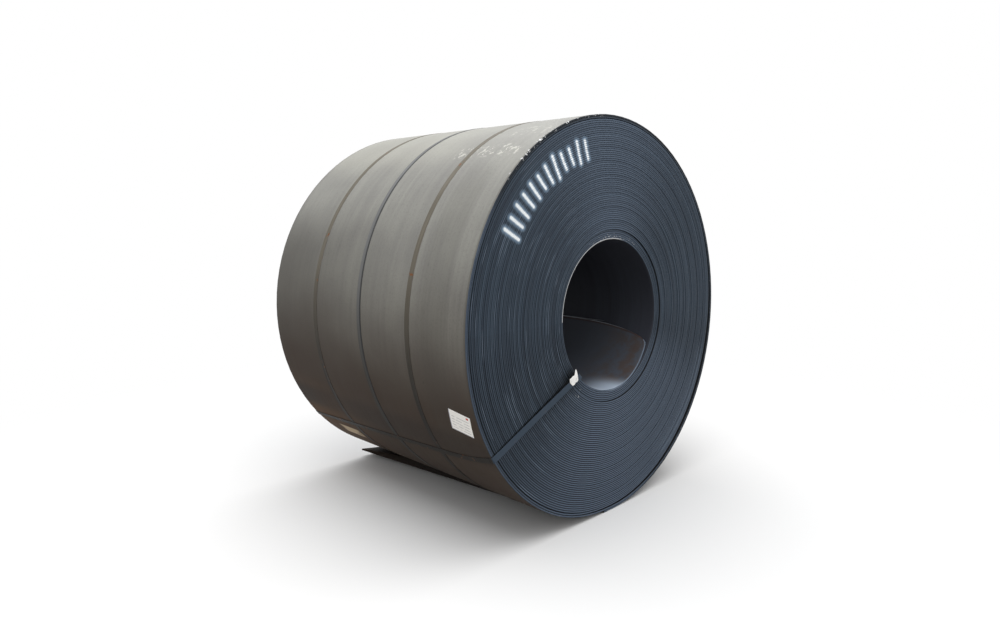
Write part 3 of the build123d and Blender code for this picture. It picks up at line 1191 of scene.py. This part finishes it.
    def build(self, materials: list[bpy.types.Material]) -> bpy.types.Object:
        """Builds the coil.

        Args:
            materials: The rolled faces' finish and the strip edges' finish.

        Returns:
            The piece that stands for the coil.
        """
        bm = bmesh.new()
        names = ("turn", "depth", "along")
        for name in names:
            bm.verts.layers.float.new(name)
        at = Layers(*(bm.verts.layers.float[name] for name in names))
        self._turned_body(bm, at)
        self._wind(bm, at)
        bmesh.ops.remove_doubles(bm, verts=bm.verts[:], dist=WELD)
        open_edges = [edge for edge in bm.edges if edge.is_boundary]
        ends = bmesh.ops.holes_fill(bm, edges=open_edges, sides=0)["faces"]
        ends.sort(key=lambda face: sum(vert[at.turn] for vert in face.verts))
        self._run_on(bm, at, ends[0], self._head_turns(), self.gauge)
        shares = [step / self.tail_steps for step in range(self.tail_steps + 1)]
        self._run_on(bm, at, ends[1], [self.tail_turn + share for share in shares], 0.0)
        self._seat_corners(bm, at)
        self._wind(bm, at)
        bmesh.ops.recalc_face_normals(bm, faces=bm.faces[:])
        for face in bm.faces:
            edge_on = abs(face.normal.y) > 0.5
            face.material_index = (StripFace.EDGE if edge_on else StripFace.ROLLED).value
        bm.verts.layers.float.remove(at.along)
        return finished_piece(bm, "coil", materials)

    def belt(self, angle: float) -> Vector:
        """Outline that a taut strap follows round the coil and under its tail.

        Args:
            angle: Angle about the axis, in degrees.

        Returns:
            The point, on the plane through the origin across the axis.
        """
        end, centre = self.tail_end, self.tail_radius - self.outer_radius
        end_angle = math.atan2(end.z, end.x)
        lift_off = end_angle - math.acos(self.outer_radius / end.length)
        turned = math.radians((angle + 180) % 360 - 180)
        ray = Vector((math.cos(turned), 0, math.sin(turned)))
        reach = self.outer_radius
        if lift_off < turned < end_angle:
            reach = self.outer_radius / math.cos(turned - lift_off)
        elif end_angle <= turned < -math.pi / 2:
            across = -centre * math.sin(turned)
            reach = math.sqrt(self.tail_radius**2 - centre**2 + across**2) - across
        return ray * reach + Vector((0, 0, self.axis_height))


@dataclass
class Strap:
    """A flat steel strap lying on the coil."""

    coil: WoundStrip
    width: float = 32.0 * MM
    gauge: float = 1.0 * MM
    edge_round: float = 0.6 * MM

    def section(self, foot: Vector, across: Vector, outward: Vector) -> Section:
        """Corners of the strap's section at one place.

        Args:
            foot: Middle of the side that lies on the coil.
            across: Half the strap's width, as a vector.
            outward: Direction away from the coil.

        Returns:
            Four corners, in order round the section.
        """
        top = outward.normalized() * self.gauge
        inset = across * (1 - self.edge_round / across.length)
        return [foot - across, foot - inset + top, foot + inset + top, foot + across]


@dataclass
class GirthStrap(Strap):
    """A strap round the coil's girth, leaning a little off square."""

    name: str = ""
    station: float = 0.0
    lean: float = 0.0
    steps: int = 180
    # Degrees to each side of a place between which the strap's direction there is read
    probe: float = 0.05

    def build(self, material: bpy.types.Material) -> bpy.types.Object:
        """Builds the strap as a belt that runs under the tail.

        Args:
            material: The strapping steel.

        Returns:
            The piece.
        """
        lean = math.radians(self.lean)
        across = Vector((0, self.width / 2 / math.cos(lean), 0))
        end = self.coil.tail_end
        start = math.degrees(math.atan2(end.z, end.x))
        sections = []
        for step in range(self.steps + 1):
            angle = start + 360 * (step % self.steps) / self.steps
            here = self.coil.belt(angle)
            run = self.coil.belt(angle + self.probe) - self.coil.belt(angle - self.probe)
            outward = Vector((run.z, 0, -run.x))
            here.y = self.station + (here.z - self.coil.axis_height) * math.tan(lean)
            sections.append(self.section(here, across, outward))
        bm = bmesh.new()
        sweep(bm, sections)
        return finished_piece(bm, self.name, [material])


@dataclass
class EyeStrap(Strap):
    """The strap through the bore, over both faces and along the outside."""

    face_reach: float = 0.0
    bore_angle: float = -136.5
    front_rim_angle: float = -147.5
    bend_angle: float = -144.0
    rear_rim_angle: float = -138.5
    bend_station: float = 300.0 * MM
    fold_round: float = 4.0 * MM
    fold_steps: int = 6
    run_steps: int = 24
    stand_off: float = 13.0 * MM
    stand_rest: float = 2.5 * MM
    rest_share: float = 0.1
    mouth_round: float = 12.0 * MM
    mouth_stand: float = 4.0 * MM
    mouth_length: float = 400.0 * MM

    @classmethod
    def on_face(cls, coil: WoundStrip) -> tuple[Vector, Vector]:
        """Finds the ends of the strap's run over the marked face.

        Args:
            coil: The wound strip.

        Returns:
            The end at the bore and the end at the rim, measured from the axis.
        """
        start = radial(cls.bore_angle) * coil.bore_radius
        end = radial(cls.front_rim_angle) * coil.outer_radius
        start.y = end.y = -coil.half_width
        return start, end

    def polar(self, radius: float, angle: float, along: float) -> Vector:
        """Places a point on the coil.

        Args:
            radius: Distance from the axis.
            angle: Angle about the axis, in degrees.
            along: Place along the axis.

        Returns:
            The point.
        """
        turned = math.radians(angle)
        height = self.coil.axis_height + radius * math.sin(turned)
        return Vector((radius * math.cos(turned), along, height))

    def outside_angle(self, along: float) -> float:
        """Angle of the outside run, bent near the marked face and straight after it.

        Args:
            along: Place along the axis.

        Returns:
            The angle, in degrees.
        """
        bend = self.bend_station - self.coil.half_width
        before, after = bend + self.face_reach, self.face_reach - bend
        if along > bend:
            return blend(self.bend_angle, self.rear_rim_angle, (along - bend) / after)
        share = (bend - along) / before
        slope = (self.bend_angle - self.rear_rim_angle) / after * before
        drop = self.front_rim_angle - self.bend_angle - slope
        return self.bend_angle + slope * share + drop * share * share

    def _fold(self, corner: Vector, before: Vector, after: Vector, size: float) -> list[Stop]:
        """Walks a fold of the strap over an edge.

        Args:
            corner: Where the runs before and after the fold would meet.
            before: Direction away from the coil before the fold.
            after: Direction away from the coil after it.
            size: Radius of the fold.

        Returns:
            Places along the fold.
        """
        middle = corner - (before + after) * size
        stops: list[Stop] = []
        for step in range(self.fold_steps + 1):
            turned = math.pi / 2 * step / self.fold_steps
            away = before * math.cos(turned) + after * math.sin(turned)
            stops.append((middle + away * size, away))
        return stops

    def path(self) -> list[Stop]:
        """Walks the strap's loop: down the marked face, outside, up the far face, through the bore.

        Returns:
            Places along its side towards the coil, the first one given again at the end.
        """
        reach, bore = self.face_reach, self.coil.bore_radius
        rim = self.coil.outer_radius + self.gauge
        shares = [step / self.run_steps for step in range(1, self.run_steps)]
        bore_out, front, rear = -radial(self.bore_angle), Vector((0, -1, 0)), Vector((0, 1, 0))
        front_inner = self.polar(bore, self.bore_angle, -reach)
        front_outer = self.polar(rim, self.front_rim_angle, -reach)
        rear_inner = self.polar(bore, self.bore_angle, reach)
        rear_outer = self.polar(rim, self.rear_rim_angle, reach)
        proud = front * (self.stand_off + self.stand_rest) + bore_out * self.mouth_stand
        stops = self._fold(front_inner + proud, bore_out, front, self.mouth_round)
        for share in shares:
            left = 1 - share
            rest = self.stand_rest * min(left / self.rest_share, 1.0)
            lift = self.stand_off * left * left + rest
            stops.append((front_outer.lerp(front_inner, left) + front * lift, front))
        stops += self._fold(front_outer, front, radial(self.front_rim_angle), self.fold_round)
        for step in range(1, 2 * self.run_steps):
            along = blend(-reach, reach, step / (2 * self.run_steps))
            angle = self.outside_angle(along)
            stops.append((self.polar(rim, angle, along), radial(angle)))
        stops += self._fold(rear_outer, radial(self.rear_rim_angle), rear, self.fold_round)
        stops += [(rear_outer.lerp(rear_inner, share), rear) for share in shares]
        stops += self._fold(rear_inner, rear, bore_out, self.fold_round)
        for share in shares:
            along = blend(reach, -reach, share)
            left = max(1 - (along + reach) / self.mouth_length, 0.0)
            lift = self.mouth_stand * left * left
            stops.append((self.polar(bore - lift, self.bore_angle, along), bore_out))
        return [*stops, stops[0]]

    def build(self, material: bpy.types.Material) -> bpy.types.Object:
        """Builds the strap as one closed loop.

        Args:
            material: The strapping steel.

        Returns:
            The piece.
        """
        stops = self.path()
        count = len(stops) - 1
        sections = []
        for number, (foot, outward) in enumerate(stops):
            ahead = stops[(number + 1) % count][0]
            behind = stops[(number - 1) % count][0]
            across = (ahead - behind).cross(outward).normalized() * (self.width / 2)
            sections.append(self.section(foot, across, outward))
        bm = bmesh.new()
        sweep(bm, sections)
        return finished_piece(bm, "eye_strap", [material])


@dataclass
class WrapLabel:
    """The paper label stuck on the outer turn."""

    coil: WoundStrip
    length: float = 132.0 * MM
    height: float = 107.0 * MM
    gauge: float = 0.3 * MM
    station: float = 115.0 * MM
    angle: float = -157.4
    turn: float = -9.3
    cells: int = 10

    def build(self, material: bpy.types.Material) -> bpy.types.Object:
        """Builds the label as a sheet bent round the outer turn.

        Args:
            material: The label's paper.

        Returns:
            The piece.
        """
        bm = bmesh.new()
        bmesh.ops.create_grid(bm, x_segments=self.cells, y_segments=self.cells, size=0.5)
        names = ("across", "down")
        for name in names:
            bm.verts.layers.float.new(name)
        across, down = (bm.verts.layers.float[name] for name in names)
        for vert in bm.verts:
            vert[across], vert[down] = 2 * vert.co.x, 2 * vert.co.y
        bmesh.ops.scale(bm, vec=(self.length, self.height, 1), verts=bm.verts[:])
        turned = Matrix.Rotation(math.radians(self.turn), 3, "Z")
        bmesh.ops.rotate(bm, cent=(0, 0, 0), matrix=turned, verts=bm.verts[:])
        thickened(bm, (0, 0, self.gauge))
        for vert in bm.verts:
            bent = math.radians(self.angle) + vert.co.y / self.coil.outer_radius
            radius = self.coil.outer_radius + vert.co.z
            along = self.station - self.coil.half_width + vert.co.x
            height = self.coil.axis_height + radius * math.sin(bent)
            vert.co = (radius * math.cos(bent), along, height)
        bmesh.ops.recalc_face_normals(bm, faces=bm.faces[:])
        return finished_piece(bm, "label", [material])


@dataclass
class StrapTag:
    """The torn scrap of a paper tag caught under the eye strap, at the bore's edge."""

    coil: WoundStrip
    station: float
    gauge: float = 0.8 * MM
    crumple: float = 3.0 * MM
    crumple_across: float = 9.0 * MM
    crumple_up: float = 13.0 * MM
    border: float = 6.0 * MM
    sharp: float = 40.0
    # Across and up from the axis, in millimetres, round the torn edge
    # fmt: off
    outline: tuple[tuple[float, float], ...] = (
        (-315, -225), (-308, -236), (-304, -249), (-299, -266), (-295, -282), (-304, -290),
        (-315, -289), (-324, -298), (-336, -302), (-346, -294), (-355, -285), (-360, -267),
        (-348, -262), (-338, -255), (-328, -252), (-323, -237),
    )
    # fmt: on

    def build(self, material: bpy.types.Material) -> bpy.types.Object:
        """Builds the scrap as a crumpled sheet with a ragged edge.

        Args:
            material: The tag's paper.

        Returns:
            The piece.
        """
        bm = bmesh.new()
        corners = [
            bm.verts.new((across * MM, self.station, self.coil.axis_height + up * MM))
            for across, up in self.outline
        ]
        sheet = [bm.faces.new(corners)]
        bmesh.ops.inset_region(bm, faces=sheet, thickness=self.border, use_even_offset=True)
        bmesh.ops.poke(bm, faces=sheet)
        bmesh.ops.subdivide_edges(bm, edges=bm.edges[:], cuts=1, use_grid_fill=True)
        for vert in bm.verts:
            fold = math.sin(vert.co.x / self.crumple_across)
            fold += math.sin(vert.co.z / self.crumple_up + 1.0)
            vert.co.y -= self.crumple * (1 + fold / 2)
        thickened(bm, (0, -self.gauge, 0))
        bmesh.ops.recalc_face_normals(bm, faces=bm.faces[:])
        return finished_piece(bm, "strap_tag", [material], self.sharp)


@dataclass(frozen=True)
class Studio:
    """Pale floor, soft light and the photograph's camera."""

    camera_place: tuple[float, float, float] = (-2.905, -2.910, 1.511)
    camera_yaw: float = 0.7906
    camera_pitch: float = -0.0434
    sensor_width: float = 36.0
    lens: float = 25.515
    shift_x: float = -0.0064
    shift_y: float = -0.0685
    clip_end: float = 100.0
    floor_size: float = 60.0
    floor_colour: str = "dcdcdc"
    floor_bounce: str = "a29e97"
    white: str = "ffffff"
    white_from: float = 1.3
    white_at: float = 3.8
    ambient: float = 0.9
    overhead_watts: float = 440.0
    overhead_size: float = 8.0
    overhead_place: tuple[float, float, float] = (-0.5, -0.4, 5.6)

    def build(self) -> None:
        """Builds the stage, the lights and the camera."""
        self._floor()
        self._world()
        self._lamp()
        self._camera()

    def _seen(self, nodes: Shading) -> Socket:
        """Marks the rays that see a thing rather than gather its light.

        Args:
            nodes: Nodes of a material or the world.

        Returns:
            1 for camera, glossy and transmission rays.
        """
        seen = nodes.node("LightPath", out="Is Camera Ray")
        rays = seen.node.outputs
        for name in ("Is Glossy Ray", "Is Transmission Ray"):
            seen = nodes.node("Math", {0: seen, 1: rays[name]}, operation="MAXIMUM")
        return seen

    def _floor(self) -> None:
        """Lays the pale floor, which keeps the shadow and fades to white further off."""
        bm = bmesh.new()
        bmesh.ops.create_grid(bm, x_segments=1, y_segments=1, size=self.floor_size / 2)
        mesh = bpy.data.meshes.new("floor")
        bm.to_mesh(mesh)
        bm.free()
        nodes = Shading(bpy.data.materials.new("pale_floor"))
        paint = nodes.node("BsdfDiffuse", {"Color": linear(self.floor_colour)})
        white = nodes.node("Emission", {"Color": linear(self.white), "Strength": 1.0})
        away = nodes.node("VectorMath", {0: nodes.seat}, "Value", operation="LENGTH")
        reach = {0: away, 1: self.white_from, 2: self.white_at}
        fade = nodes.node("MapRange", reach, **SMOOTH)
        shown = nodes.node("MixShader", {0: fade, 1: paint, 2: white})
        dull = nodes.node("BsdfDiffuse", {"Color": linear(self.floor_bounce)})
        surface = nodes.node("MixShader", {0: self._seen(nodes), 1: dull, 2: shown})
        nodes.node("OutputMaterial", {"Surface": surface})
        mesh.materials.append(nodes.owner)
        floor = bpy.data.objects.new("floor", mesh)
        bpy.context.scene.collection.objects.link(floor)

    def _world(self) -> None:
        """Makes a white surround that lights the coil softly and shows white itself."""
        nodes = Shading(bpy.data.worlds.new("surround"))
        strength = nodes.node("Mix", {0: self._seen(nodes), 2: self.ambient, 3: 1.0})
        light = nodes.node("Background", {"Color": linear(self.white), "Strength": strength})
        nodes.node("OutputWorld", {"Surface": light})
        bpy.context.scene.world = nodes.owner

    def _lamp(self) -> None:
        """Hangs one wide soft lamp over the coil."""
        lamp = bpy.data.lights.new("overhead", "AREA")
        lamp.energy = self.overhead_watts
        lamp.size = self.overhead_size
        lamp_object = bpy.data.objects.new("overhead", lamp)
        lamp_object.location = self.overhead_place
        bpy.context.scene.collection.objects.link(lamp_object)

    def _camera(self) -> None:
        """Sets the camera where the photograph was taken."""
        camera = bpy.data.cameras.new("camera")
        camera.sensor_width = self.sensor_width
        camera.lens = self.lens
        camera.shift_x, camera.shift_y = self.shift_x, self.shift_y
        camera.clip_end = self.clip_end
        camera_object = bpy.data.objects.new("camera", camera)
        camera_object.location = self.camera_place
        level = math.cos(self.camera_pitch)
        across, along = math.sin(self.camera_yaw) * level, math.cos(self.camera_yaw) * level
        look = Vector((across, along, math.sin(self.camera_pitch)))
        camera_object.rotation_euler = look.to_track_quat("-Z", "Y").to_euler()
        bpy.context.scene.collection.objects.link(camera_object)
        bpy.context.scene.camera = camera_object


def main() -> None:
    """Builds each sub-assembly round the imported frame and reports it."""
    logging.basicConfig(level=logging.INFO, format="%(message)s")
    bpy.context.scene.view_settings.view_transform = "Standard"
    bore = frame["record"]["mounts"][0]
    low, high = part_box("coil")
    coil = WoundStrip(
        bore_radius=bore["dims"]["r_mm"] * MM,
        outer_radius=(high.x - low.x) / 2,
        axis_height=bore["pos_m"][2],
        half_width=bore["dims"]["length_mm"] * MM / 2,
    )
    coil.build([MillScale().material(coil), MillEdge().material(coil)])
    browned = StrapSteel("browned_strapping_steel", steel="666157").material(coil)
    blued = StrapSteel(
        "blued_strapping_steel", steel="6b6c6d", soil_and_shade="23211d", front_edge="1a1d21", rusting=0.2
    ).material(coil)
    # Lean in degrees and finish of each girth strap
    girths = {
        "girth_strap_front": (0.2, browned),
        "girth_strap_middle": (2.8, blued),
        "girth_strap_rear": (0.8, browned),
    }
    for name, (lean, steel) in girths.items():
        near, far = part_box(name)
        GirthStrap(coil, name=name, station=(near.y + far.y) / 2, lean=lean).build(steel)
    eye = EyeStrap(coil, face_reach=high.y)
    eye.build(StrapSteel("eye_strapping_steel", steel="666157", on_face="3b4755").material(coil))
    WrapLabel(coil).build(LabelPaper().material())
    StrapTag(coil, station=-high.y - eye.stand_off - eye.gauge).build(TornPaper().material())
    Studio().build()


if __name__ == "__main__":
    main()
